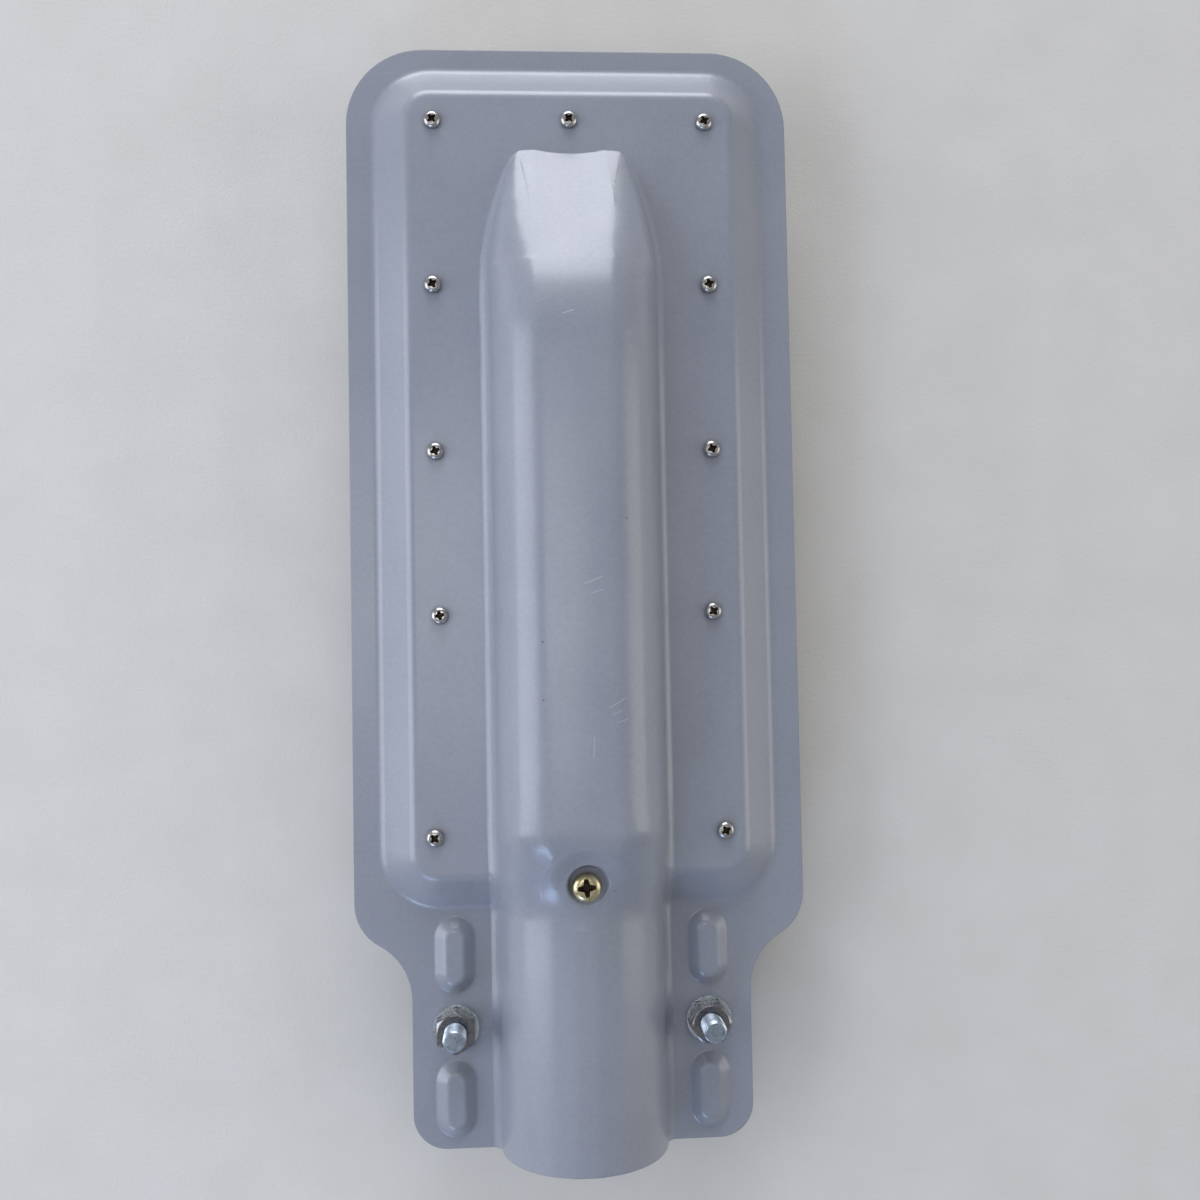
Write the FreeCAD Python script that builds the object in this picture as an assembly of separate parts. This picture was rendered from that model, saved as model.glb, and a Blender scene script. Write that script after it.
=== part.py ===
import FreeCAD, Part
import math
import os
from FreeCAD import Vector

# LED street light head, seen as it hangs on its pole arm: light goes down, the pressed sheet faces the sky.
# X is across, +Y runs from the pole socket to the tip, +Z is up. Millimetres.
# The origin is on the axis of the pole socket, at its mouth. The top of the flange is the plane Z = 0.

# Sheet and outline
sheet = 1.5
overall_length = 393.0
body_half_width = 80.0
ear_half_width = 60.15
tip_corner = 28.0
ear_corner = 12.0
shoulder_convex = 17.0
shoulder_concave = 22.0
shoulder_end = 86.0

# Raised pan that holds the light panel
pan_height = 10.5
pan_margin = 10.0
pan_tip_margin = 8.4
pan_slope_run = 12.0
pan_start = 83.8
pan_corner = 20.5
pan_top_bend = 5.0
pan_foot_bend = 4.5

# Half round pole socket, running on as the driver housing
socket_radius = 29.3
housing_half_width = 29.6
housing_crown = 40.2
crown_flat = 10.0
arch_foot_bend = 4.0
step_start = 86.0
step_end = 115.0
step_lead = 6.0
crest_lead = 2.0
nose_to_tip = 41.0
nose_length = 59.0
nose_taper_length = 56.0
crest_blend = 16.0
nose_front_half_width = 16.0
nose_facet_half_width = 14.0
nose_flute = 0.7
nose_taper_past = 3.0
nose_taper_power = 2.4
flank_power = 0.92
socket_flat = 0.5
foot_sink = 0.1
foot_share = 0.4
least_rise = 1.0
least_sag = 0.001
bore_ream = 0.05
bore_length = 78.0
bore_end_run = 1.5
bore_end_drop = 0.2
section_steps = 8
step_counts = (14, 12)
nose_counts = (8, 4)

# Round dimple for the earth screw
dimple_radius = 7.4
dimple_draft = 0.6
dimple_sink = 0.3
earth_x = 0.6
earth_y = 95.4

# Obround stiffening ribs in the ears
rib_offset = 15.6
rib_half_width = 7.0
rib_length = 26.5
rib_height = 3.2
rib_slope_run = 3.8
rib_top_bend = 2.5
rib_foot_bend = 1.5
rib_starts = (4.0, 54.0)

# Clamp studs, washers and nuts
stud_offset = 15.4
stud_y = 42.1
stud_radius = 4.0
stud_bevel = 0.8
stud_above_left = 16.6
stud_above_right = 17.4
stud_hole_clearance = 0.5
thread_clearance = 0.06
clamp_washer_radius = 8.0
clamp_washer_thick = 1.6
clamp_nut_flats = 13.0
clamp_nut_height = 6.5
clamp_nut_turn_left = 30.0
clamp_nut_turn_right = 4.0
bolt_head_radius = 9.8
bolt_head_height = 4.2
bolt_dome_share = (0.62, 0.72)
bolt_rim_share = 0.2
bolt_neck_half = 4.1
neck_clearance = 0.2

# Lower half of the clamp
strap_width = 40.0
strap_thick = 3.0
strap_gap = 4.0
strap_half_span = 57.0
strap_corner = 7.0
strap_bend = 4.0

# Light panel
plate_thick = 2.0
panel_side_gap = 1.2
panel_start = 100.5
panel_tip_gap = 1.2
panel_corner = 8.0
gasket_thick = 1.5
gasket_width = 13.0
cover_rim_thick = 2.5
cover_rim_width = 14.0
cover_wall = 2.0
cover_corner = 6.0
chip_size = 3.0
chip_thick = 0.7
chip_columns = 4
chip_rows = 18
chip_pitch_x = 17.0
chip_margin_y = 14.0

# Panel screws
panel_screw_radius = 1.5
panel_head_radius = 3.0
panel_head_height = 2.3
panel_hole_clearance = 0.15
panel_nut_flats = 5.5
panel_nut_height = 2.4
panel_washer_radius = 3.5
panel_washer_thick = 0.5
panel_screw_past_nut = 1.0

# Panel screws in pairs: distance from the panel's side, and share of the panel's length
panel_screw_pairs = ((4.3, 0.0357), (7.0, 0.3212), (6.2, 0.535), (6.0, 0.7543), (6.5, 0.9729))
panel_tip_screw_inset = 6.8

# Driver inside the housing
driver_half_width = 19.0
driver_height = 19.0
driver_to_crest = 27.0
driver_start = 160.0
driver_edge = 2.0
cap_thick = 5.0
cap_lip = 0.8
lug_length = 9.0
lug_thick = 2.5
lug_half_width = 6.0
lead_hole_radius = 2.6
lead_hole_x = 10.0
lead_hole_drop = 6.0
driver_screw_radius = 1.5
driver_head_radius = 2.8
driver_head_height = 2.0

# Terminal block and its clamp screws
block_half_width = 15.0
block_depth = 17.0
block_height = 14.0
block_start = 126.0
block_edge = 1.0
pole_count = 3
pole_pitch = 9.0
wire_hole_radius = 2.3
wire_hole_height = 4.5
clamp_screw_radius = 2.0
clamp_screw_sink = 1.0
clamp_screw_length = 5.0
clamp_slot_half = 0.4
clamp_slot_depth = 1.0

# Rubber bung between the socket and the driver space
bung_start = 112.0
bung_depth = 7.0
bung_clearance = 0.3
bung_cable_radius = 4.5
bung_cable_height = 20.0

# Earth screw, also the stop for the pole
earth_radius = 2.5
earth_hole_clearance = 0.2
earth_head_radius = 4.9
earth_head_height = 3.4
earth_length = 15.0
earth_nut_flats = 8.0
earth_nut_height = 4.0
earth_washer_radius = 5.0
earth_washer_thick = 0.8

# Cross recess of the screw heads, as shares of the head
recess_span = 0.62
recess_slot = 0.2
recess_depth = 0.55

# Profile of a pan head, as shares of its radius and its height
head_shoulder = (0.86, 0.78)
head_side = 0.35
head_flat = 0.55

# Chamfer of a nut: share of the corner that it takes off, and its size at the face
nut_chamfer_share = 0.75
nut_face_share = 0.97
nut_spare = 0.1

# How far cutting tools run past what they cut, how far the forms run on below
# the sheet, and how close two sizes are that count as one
past = 1.0
form_foot = 2.0
margin = 6.0
close = 1e-3

pan_tilt = math.atan2(pan_height, pan_slope_run)
rib_tilt = math.atan2(rib_height, rib_slope_run)
plateau_under = pan_height - sheet
plate_under = plateau_under - plate_thick
gasket_under = plate_under - gasket_thick
rim_under = gasket_under - cover_rim_thick
ear_under = -sheet
strap_top = ear_under - strap_gap
strap_under = strap_top - strap_thick
socket_inner = socket_radius - sheet + bore_ream
stud_x = socket_radius + stud_offset
rib_x = socket_radius + rib_offset
nose_front = overall_length - nose_to_tip
crest = nose_front - nose_length
nose_taper_start = nose_front - nose_taper_length
driver_length = crest - driver_to_crest - driver_start
earth_floor = socket_radius - dimple_sink
pan_end = overall_length - pan_tip_margin
pan_half_width = body_half_width - pan_margin
plateau_half_width = pan_half_width - pan_slope_run
panel_half_width = plateau_half_width - pan_top_bend * math.tan(pan_tilt / 2) - panel_side_gap
panel_end = pan_end - pan_slope_run - pan_top_bend * math.tan(pan_tilt / 2) - panel_tip_gap


def save(name, shape):
    shape.exportStep(f"parts/{name}.step")


def box(x0, x1, y0, y1, z0, z1):
    return Part.makeBox(x1 - x0, y1 - y0, z1 - z0, Vector(x0, y0, z0))


def post(x, y, radius, z0, z1):
    return Part.makeCylinder(radius, z1 - z0, Vector(x, y, z0))


def mix(a, b, share):
    return a + (b - a) * share


def ease(share):
    share = min(max(share, 0.0), 1.0)
    return share * share * (3.0 - 2.0 * share)


def rounded_loop(x_half, y0, y1, corner, z):
    """Closed rectangle with round corners, centred on X = 0."""
    edges = []
    turns = ((x_half, y1, 0), (-x_half, y1, 90), (-x_half, y0, 180), (x_half, y0, 270))
    last = Vector(x_half, y0 + corner, z)
    for x, y, start in turns:
        centre = Vector(x - math.copysign(corner, x), y - corner if y == y1 else y + corner, z)
        points = []
        for angle in (start, start + 45, start + 90):
            a = math.radians(angle)
            points.append(centre + Vector(corner * math.cos(a), corner * math.sin(a), 0))
        if (points[0] - last).Length > close:
            edges.append(Part.LineSegment(last, points[0]).toShape())
        edges.append(Part.Arc(*points).toShape())
        last = points[2]
    return Part.Wire(edges)


def rounded_plate(x_half, y0, y1, corner, z0, z1):
    return Part.Face(rounded_loop(x_half, y0, y1, corner, z0)).extrude(Vector(0, 0, z1 - z0))


def obround_loop(x, y0, y1, half, z):
    low = Vector(x, y0 + half, z)
    high = Vector(x, y1 - half, z)
    side = Vector(half, 0, 0)
    end = Vector(0, half, 0)
    return Part.Wire([
        Part.LineSegment(low + side, high + side).toShape(),
        Part.Arc(high + side, high + end, high - side).toShape(),
        Part.LineSegment(high - side, low - side).toShape(),
        Part.Arc(low - side, low - end, low + side).toShape(),
    ])


def level_edges(shape, z, inside):
    """Edges that lie flat at height z, within the box (x0, x1, y0, y1)."""
    found = []
    for edge in shape.Edges:
        b = edge.BoundBox
        flat = abs(b.ZMin - z) < close and abs(b.ZMax - z) < close
        if flat and b.XMin > inside[0] and b.XMax < inside[1] and b.YMin > inside[2] and b.YMax < inside[3]:
            found.append(edge)
    return found


def pan_form(depth):
    """Flange, pan and ribs, with their top surface moved inwards by depth."""
    inset = depth * math.tan(pan_tilt / 2)
    flare = form_foot * pan_slope_run / pan_height
    low = rounded_loop(
        pan_half_width - inset + flare,
        pan_start + inset - flare,
        pan_end - inset + flare,
        pan_corner - inset + flare,
        -depth - form_foot,
    )
    high = rounded_loop(
        plateau_half_width - inset,
        pan_start + pan_slope_run + inset,
        pan_end - pan_slope_run - inset,
        pan_corner - pan_slope_run - inset,
        pan_height - depth,
    )
    reach = body_half_width + margin
    slab = box(-reach, reach, -margin, overall_length + margin, -margin - sheet, -depth)
    form = slab.fuse(Part.makeLoft([low, high], True, True))
    rib_inset = depth * math.tan(rib_tilt / 2)
    rib_flare = form_foot * rib_slope_run / rib_height
    for side in (-1, 1):
        for start in rib_starts:
            wide = rib_half_width - rib_inset + rib_flare
            narrow = rib_half_width - rib_inset - rib_slope_run
            low = obround_loop(
                side * rib_x, start + rib_inset - rib_flare, start + rib_length - rib_inset + rib_flare,
                wide, -depth - form_foot,
            )
            high_inset = rib_inset + rib_slope_run
            high = obround_loop(
                side * rib_x, start + high_inset, start + rib_length - high_inset, narrow, rib_height - depth
            )
            form = form.fuse(Part.makeLoft([low, high], True, True))
    form = form.removeSplitter()
    inside = (-body_half_width, body_half_width, 0, overall_length)
    ears = (-body_half_width, body_half_width, 0, pan_start - past)
    body = (-body_half_width, body_half_width, pan_start - past, overall_length)
    form = form.makeFillet(pan_top_bend - depth, level_edges(form, pan_height - depth, inside))
    form = form.makeFillet(pan_foot_bend + depth, level_edges(form, -depth, body))
    form = form.makeFillet(rib_top_bend - depth, level_edges(form, rib_height - depth, ears))
    return form.makeFillet(rib_foot_bend + depth, level_edges(form, -depth, ears))


def pan_level(y, depth):
    """Height of the pan's end wall, bends included, at y."""
    inset = depth * math.tan(pan_tilt / 2)
    foot_bend = pan_foot_bend + depth
    top_bend = pan_top_bend - depth
    foot_y = pan_start + inset - foot_bend * math.tan(pan_tilt / 2)
    top_y = pan_start + pan_slope_run + inset + top_bend * math.tan(pan_tilt / 2)
    if y <= foot_y:
        return -depth
    if y >= top_y:
        return pan_height - depth
    if y < foot_y + foot_bend * math.sin(pan_tilt):
        return -depth + foot_bend - math.sqrt(foot_bend ** 2 - (y - foot_y) ** 2)
    if y > top_y - top_bend * math.sin(pan_tilt):
        return pan_height - depth - top_bend + math.sqrt(top_bend ** 2 - (top_y - y) ** 2)
    return -depth + (y - pan_start - inset) * math.tan(pan_tilt)


def crown_level(y, depth):
    """Height of the crown: socket, step up to the housing, then the ramp of the nose."""
    slope = (housing_crown - pan_height) / (nose_front - crest)
    past = y - crest
    if past <= -crest_blend:
        drop = 0.0
    elif past >= crest_blend:
        drop = slope * past
    else:
        drop = slope * (past + crest_blend) ** 2 / (4 * crest_blend)
    raised = ease((y - step_start) / (step_end - step_start))
    return mix(socket_radius, housing_crown, raised) - drop - depth


def arch_half_width(y, depth):
    """Half width of the arch above its foot, drawn in like a bullet at the nose."""
    raised = ease((y - step_start) / (step_end - step_start))
    wide = mix(socket_radius, housing_half_width, raised)
    taper = (y - nose_taper_start) / (nose_taper_length + nose_taper_past)
    taper = min(max(taper, 0.0), 1.0)
    bullet = math.sqrt(1.0 - taper ** nose_taper_power)
    return mix(nose_front_half_width, wide, bullet) - depth


def spline(points, start, end):
    curve = Part.BSplineCurve()
    curve.interpolate(Points=points, InitialTangent=start, FinalTangent=end)
    return curve


def arch_section(y, depth):
    """Section of the arch across Y: foot bends, sides and crown, closed below the flange."""
    raised = ease((y - step_start) / (step_end - step_start))
    ramp = min(max((y - crest) / (nose_front - crest), 0.0), 1.0)
    top = crown_level(y, depth)
    foot = min(pan_level(y, depth) - foot_sink, top - least_rise)
    wide = arch_half_width(y, depth)
    height = top - foot
    bend_high = min(arch_foot_bend + depth, foot_share * height)
    bend_wide = arch_foot_bend + depth
    flat = mix(socket_flat, mix(crown_flat, nose_facet_half_width, ramp), raised)
    centre = pan_level(y, depth) + depth
    rise = foot + bend_high - centre
    reach = math.sqrt((wide + bend_wide) ** 2 - rise ** 2)
    lean = math.atan2(rise, reach)
    bend_steps = section_steps // 2
    bend = []
    for i in range(bend_steps + 1):
        a = mix(0.0, mix(math.pi / 2 - lean, math.pi / 2, raised), i / bend_steps)
        x = mix(reach, wide + bend_wide, raised) - bend_wide * math.sin(a)
        bend.append(Vector(x, y, foot + bend_high * (1 - math.cos(a))))
    start = bend[-1]
    side = [start]
    for i in range(1, section_steps + 1):
        share = i / section_steps
        a = mix(lean, math.pi / 2, share)
        round_x = wide * math.cos(a)
        round_z = centre + (top - centre) * math.sin(a)
        b = share * math.pi / 2
        flat_x = flat + (start.x - flat) * math.cos(b) ** flank_power
        flat_z = start.z + (top - start.z) * math.sin(b) ** flank_power
        side.append(Vector(mix(max(round_x, flat), flat_x, raised), y, mix(round_z, flat_z, raised)))
    side[-1] = Vector(flat, y, top)
    upright = Vector(-math.sin(lean) * (1 - raised), 0, math.cos(lean * (1 - raised)))
    right_bend = spline(bend, Vector(-1, 0, 0), upright)
    right_side = spline(side, upright, Vector(-1, 0, 0))
    low = -margin - sheet
    right = Vector(bend[0].x, y, low)
    left = Vector(-bend[0].x, y, low)
    sag = Vector(0, y, top - nose_flute * ramp - least_sag)
    edges = [
        Part.LineSegment(right, bend[0]).toShape(),
        right_bend.toShape(),
        right_side.toShape(),
        Part.Arc(side[-1], sag, Vector(-flat, y, top)).toShape(),
    ]
    mirror = FreeCAD.Matrix()
    mirror.A11 = -1.0
    for curve in (right_side, right_bend):
        points = curve.getPoles()
        twin = curve.copy()
        for index, pole in enumerate(points):
            twin.setPole(index + 1, mirror.multVec(pole))
        twin.reverse()
        edges.append(twin.toShape())
    edges.append(Part.LineSegment(Vector(-bend[0].x, y, bend[0].z), left).toShape())
    edges.append(Part.LineSegment(left, right).toShape())
    return Part.Wire(edges)


def spread(first, last, count):
    return [mix(first, last, i / count) for i in range(count + 1)]


def arch_loft(stations, depth):
    return Part.makeLoft([arch_section(y, depth) for y in stations], True, False)


def arch_run(first, last, depth):
    return Part.Face(arch_section(first, depth)).extrude(Vector(0, last - first, 0))


def arch_form(depth):
    """Pole socket, step, driver housing and nose, top surface moved inwards by depth."""
    step_first = step_start - step_lead
    step_middle = pan_start + pan_slope_run + step_lead / 2
    step_last = step_end + crest_lead
    nose_first = crest - crest_blend - crest_lead
    nose_middle = nose_front - nose_front_half_width
    nose_last = nose_front + step_lead / 2
    step_stations = spread(step_first, step_middle, step_counts[0])[:-1]
    step_stations += spread(step_middle, step_last, step_counts[1])
    nose_stations = spread(nose_first, nose_middle, nose_counts[0])[:-1]
    nose_stations += spread(nose_middle, nose_last, nose_counts[1])
    socket = arch_run(-margin, step_first, depth)
    return socket.fuse([
        arch_loft(step_stations, depth),
        arch_run(step_last, nose_first, depth),
        arch_loft(nose_stations, depth),
    ])


def sheet_form(depth):
    """Everything under the sheet's top surface, moved inwards by depth."""
    form = pan_form(depth).fuse(arch_form(depth))
    floor = earth_floor - depth
    foot_radius = dimple_radius + depth
    dimple = Part.makeCone(
        foot_radius, foot_radius + dimple_draft, housing_crown - floor + past, Vector(earth_x, earth_y, floor)
    )
    return form.cut(dimple)


def outline_face():
    turn = math.acos(1 - (body_half_width - ear_half_width) / (shoulder_convex + shoulder_concave))
    rise = (shoulder_convex + shoulder_concave) * math.sin(turn)
    concave_x = ear_half_width + shoulder_concave
    convex_x = body_half_width - shoulder_convex
    concave_y = shoulder_end - rise

    def on_arc(x, y, radius, angle):
        return (x + radius * math.cos(angle), y + radius * math.sin(angle))

    quarter = math.pi / 2
    right = [
        ("line", (ear_half_width - ear_corner, 0)),
        ("arc", on_arc(ear_half_width - ear_corner, ear_corner, ear_corner, -quarter / 2),
         (ear_half_width, ear_corner)),
        ("line", (ear_half_width, concave_y)),
        ("arc", on_arc(concave_x, concave_y, shoulder_concave, math.pi - turn / 2),
         on_arc(concave_x, concave_y, shoulder_concave, math.pi - turn)),
        ("arc", on_arc(convex_x, shoulder_end, shoulder_convex, -turn / 2), (body_half_width, shoulder_end)),
        ("line", (body_half_width, overall_length - tip_corner)),
        ("arc", on_arc(body_half_width - tip_corner, overall_length - tip_corner, tip_corner, quarter / 2),
         (body_half_width - tip_corner, overall_length)),
        ("line", (0, overall_length)),
    ]
    edges = []
    for side in (1, -1):
        last = Vector(0, 0, 0)
        for kind, *points in right:
            points = [Vector(side * x, y, 0) for x, y in points]
            if kind == "line":
                edges.append(Part.LineSegment(last, points[0]).toShape())
            else:
                edges.append(Part.Arc(last, *points).toShape())
            last = points[-1]
    return Part.Face(Part.Wire(Part.__sortEdges__(edges)))


def panel_screw_places():
    places = []
    for inset, share in panel_screw_pairs:
        for side in (-1, 1):
            places.append((side * (panel_half_width - inset), mix(panel_start, panel_end, share)))
    return places + [(0.0, panel_end - panel_tip_screw_inset)]


def hole_tools(radius, z0, z1):
    return Part.makeCompound([post(x, y, radius, z0, z1) for x, y in panel_screw_places()])


def upper_housing():
    shell = sheet_form(0.0).cut(sheet_form(sheet))
    blank = outline_face()
    blank.translate(Vector(0, 0, -margin))
    shell = shell.common(blank.extrude(Vector(0, 0, housing_crown + 2 * margin)))
    bore = Part.makeCylinder(socket_inner, bore_length + past, Vector(0, -past, 0), Vector(0, 1, 0))
    bore = bore.fuse(Part.makeCone(
        socket_inner, socket_inner - bore_end_drop, bore_end_run, Vector(0, bore_length, 0), Vector(0, 1, 0)
    ))
    holes = [bore, hole_tools(panel_screw_radius + panel_hole_clearance, 0, pan_height + past)]
    for side in (-1, 1):
        holes.append(post(side * stud_x, stud_y, stud_radius + stud_hole_clearance, ear_under - past, past))
    earth_hole = earth_radius + earth_hole_clearance
    holes.append(post(earth_x, earth_y, earth_hole, earth_floor - sheet - past, earth_floor + past))
    return shell.cut(holes)


def panel_plate(inset, corner, z0, z1):
    return rounded_plate(panel_half_width - inset, panel_start + inset, panel_end - inset, corner, z0, z1)


def driver_screw_places():
    return [
        (0.0, driver_start - cap_thick - lug_length / 2),
        (0.0, driver_start + driver_length + cap_thick + lug_length / 2),
    ]


def led_plate():
    plate = panel_plate(0, panel_corner, plate_under, plateau_under)
    holes = [hole_tools(panel_screw_radius + panel_hole_clearance, plate_under - past, plateau_under + past)]
    for x, y in driver_screw_places():
        bore = driver_screw_radius + thread_clearance
        holes.append(post(x, y, bore, plate_under - past, plateau_under + past))
    return plate.cut(holes)


def cover_gasket():
    ring = panel_plate(0, panel_corner, gasket_under, plate_under)
    window = panel_plate(gasket_width, panel_corner, gasket_under - past, plate_under + past)
    holes = hole_tools(panel_screw_radius + panel_hole_clearance, gasket_under - past, plate_under + past)
    return ring.cut([window, holes])


def lens_cover():
    rim = panel_plate(0, panel_corner, rim_under, gasket_under)
    tray = panel_plate(cover_rim_width, cover_corner, ear_under, gasket_under)
    hollow = panel_plate(
        cover_rim_width + cover_wall, cover_corner - cover_wall, ear_under + cover_wall, gasket_under + past
    )
    holes = hole_tools(panel_screw_radius + panel_hole_clearance, rim_under - past, gasket_under + past)
    return rim.fuse(tray).cut([hollow, holes]).removeSplitter()


def led_chips():
    y0 = panel_start + cover_rim_width + cover_wall + chip_margin_y
    y1 = panel_end - cover_rim_width - cover_wall - chip_margin_y
    chips = []
    for column in range(chip_columns):
        x = (column - (chip_columns - 1) / 2) * chip_pitch_x
        for row in range(chip_rows):
            y = mix(y0, y1, row / (chip_rows - 1))
            half = chip_size / 2
            chips.append(box(x - half, x + half, y - half, y + half, plate_under - chip_thick, plate_under))
    return Part.makeCompound(chips)


def cross_recess(x, y, radius, top, depth):
    span = radius * recess_span
    slot = radius * recess_slot
    along = box(x - span, x + span, y - slot, y + slot, top - depth, top + past)
    across = box(x - slot, x + slot, y - span, y + span, top - depth, top + past)
    return along.fuse(across)


def pan_head_screw(x, y, seat, head_radius, head_height, radius, length):
    """Pan head screw with its head on the plane z = seat and its shank going down."""
    side = Vector(head_radius, 0, head_height * head_side)
    shoulder = Vector(head_radius * head_shoulder[0], 0, head_height * head_shoulder[1])
    flat = Vector(head_radius * head_flat, 0, head_height)
    profile = Part.Wire([
        Part.LineSegment(Vector(0, 0, -length), Vector(radius, 0, -length)).toShape(),
        Part.LineSegment(Vector(radius, 0, -length), Vector(radius, 0, 0)).toShape(),
        Part.LineSegment(Vector(radius, 0, 0), Vector(head_radius, 0, 0)).toShape(),
        Part.LineSegment(Vector(head_radius, 0, 0), side).toShape(),
        Part.Arc(side, shoulder, flat).toShape(),
        Part.LineSegment(flat, Vector(0, 0, head_height)).toShape(),
        Part.LineSegment(Vector(0, 0, head_height), Vector(0, 0, -length)).toShape(),
    ])
    screw = Part.Face(profile).revolve(Vector(0, 0, 0), Vector(0, 0, 1), 360)
    screw.translate(Vector(x, y, seat))
    return screw.cut(cross_recess(x, y, head_radius, seat + head_height, head_height * recess_depth))


def hex_nut(x, y, z0, flats, height, bore, turn, both_faces):
    corner = flats / math.sqrt(3)
    points = []
    for i in range(7):
        a = math.radians(60 * i + turn)
        points.append(Vector(x + corner * math.cos(a), y + corner * math.sin(a), z0))
    nut = Part.Face(Part.makePolygon(points)).extrude(Vector(0, 0, height))
    wide = corner + nut_spare
    face = flats / 2 * nut_face_share
    rise = (corner - flats / 2) * nut_chamfer_share
    top = Part.makeCone(wide, face, rise, Vector(x, y, z0 + height - rise))
    core = post(x, y, wide, z0, z0 + height - rise)
    if both_faces:
        foot = Part.makeCone(face, wide, rise, Vector(x, y, z0))
        core = post(x, y, wide, z0 + rise, z0 + height - rise).fuse(foot)
    nut = nut.common(core.fuse(top))
    return nut.cut(post(x, y, bore, z0 - past, z0 + height + past)).removeSplitter()


def washer(x, y, z0, radius, thick, bore):
    return post(x, y, radius, z0, z0 + thick).cut(post(x, y, bore, z0 - past, z0 + thick + past))


def panel_fasteners():
    seat = rim_under - panel_washer_thick
    nut_under = seat - panel_nut_height
    length = pan_height - nut_under + panel_screw_past_nut
    bore = panel_screw_radius + thread_clearance
    screws = []
    washers = []
    nuts = []
    for x, y in panel_screw_places():
        screws.append(
            pan_head_screw(x, y, pan_height, panel_head_radius, panel_head_height, panel_screw_radius, length)
        )
        washers.append(washer(x, y, seat, panel_washer_radius, panel_washer_thick, bore))
        nuts.append(hex_nut(x, y, nut_under, panel_nut_flats, panel_nut_height, bore, 0.0, False))
    save("cover_screws", Part.makeCompound(screws))
    save("cover_washers", Part.makeCompound(washers))
    save("cover_nuts", Part.makeCompound(nuts))


def driver_parts():
    y0 = driver_start
    y1 = driver_start + driver_length
    top = plateau_under + driver_height
    case = box(-driver_half_width, driver_half_width, y0, y1, plateau_under, top)
    long_edges = []
    for edge in case.Edges:
        if abs(edge.Length - driver_length) < close and edge.BoundBox.ZMin > top - past:
            long_edges.append(edge)
    save("driver_case", case.makeFillet(driver_edge, long_edges))
    wide = driver_half_width + cap_lip
    for name, inner, way in (("driver_cap_input", y0, -1), ("driver_cap_output", y1, 1)):
        outer = inner + way * cap_thick
        tip = outer + way * lug_length
        cap = box(-wide, wide, min(inner, outer), max(inner, outer), plateau_under, top + cap_lip)
        upright = [e for e in cap.Edges if abs(e.Length - cap_thick) < close and e.BoundBox.ZMin > top]
        cap = cap.makeFillet(driver_edge + cap_lip, upright)
        lug = box(
            -lug_half_width, lug_half_width, min(outer, tip), max(outer, tip), plateau_under,
            plateau_under + lug_thick,
        )
        hole = post(0, outer + way * lug_length / 2, driver_screw_radius + panel_hole_clearance, 0, top)
        leads = []
        for side in (-1, 1):
            leads.append(Part.makeCylinder(
                lead_hole_radius, cap_thick + 2 * past,
                Vector(side * lead_hole_x, min(inner, outer) - past, top - lead_hole_drop), Vector(0, 1, 0),
            ))
        save(name, cap.fuse(lug).cut([hole, *leads]).removeSplitter())
    seat = plateau_under + lug_thick
    screws = []
    for x, y in driver_screw_places():
        screws.append(pan_head_screw(
            x, y, seat, driver_head_radius, driver_head_height, driver_screw_radius, lug_thick + plate_thick
        ))
    save("driver_screws", Part.makeCompound(screws))


def terminal_parts():
    y0 = block_start
    y1 = block_start + block_depth
    top = plateau_under + block_height
    middle = (y0 + y1) / 2
    block = box(-block_half_width, block_half_width, y0, y1, plateau_under, top)
    upright = [e for e in block.Edges if abs(e.Length - block_height) < close]
    block = block.makeFillet(block_edge, upright)
    tools = []
    screws = []
    for i in range(pole_count):
        x = (i - (pole_count - 1) / 2) * pole_pitch
        tools.append(Part.makeCylinder(
            wire_hole_radius, block_depth + 2 * past,
            Vector(x, y0 - past, plateau_under + wire_hole_height), Vector(0, 1, 0),
        ))
        seat = top - clamp_screw_sink - clamp_screw_length
        tools.append(post(x, middle, clamp_screw_radius + thread_clearance, seat, top + past))
        screw = post(x, middle, clamp_screw_radius, seat, top - clamp_screw_sink)
        slot = box(
            x - clamp_screw_radius, x + clamp_screw_radius,
            middle - clamp_slot_half, middle + clamp_slot_half,
            top - clamp_screw_sink - clamp_slot_depth, top,
        )
        screws.append(screw.cut(slot))
    save("terminal_block", block.cut(tools))
    save("terminal_screws", Part.makeCompound(screws))


def cable_bung():
    room = arch_form(sheet + bung_clearance)
    slice_box = box(
        -body_half_width, body_half_width, bung_start, bung_start + bung_depth, plateau_under, housing_crown
    )
    side = housing_half_width - sheet - bung_clearance
    side_box = box(
        -side, side, bung_start - past, bung_start + bung_depth + past, plateau_under - past, housing_crown
    )
    hole = Part.makeCylinder(
        bung_cable_radius, bung_depth + 2 * past,
        Vector(0, bung_start - past, bung_cable_height), Vector(0, 1, 0),
    )
    return room.common(slice_box).common(side_box).cut(hole)


def earth_parts():
    save("earth_screw", pan_head_screw(
        earth_x, earth_y, earth_floor, earth_head_radius, earth_head_height, earth_radius, earth_length
    ))
    under = earth_floor - sheet
    bore = earth_radius + thread_clearance
    washer_under = under - earth_washer_thick
    save("earth_washer", washer(
        earth_x, earth_y, washer_under, earth_washer_radius, earth_washer_thick, bore
    ))
    save("earth_nut", hex_nut(
        earth_x, earth_y, washer_under - earth_nut_height, earth_nut_flats, earth_nut_height, bore, 0.0, True
    ))


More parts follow.
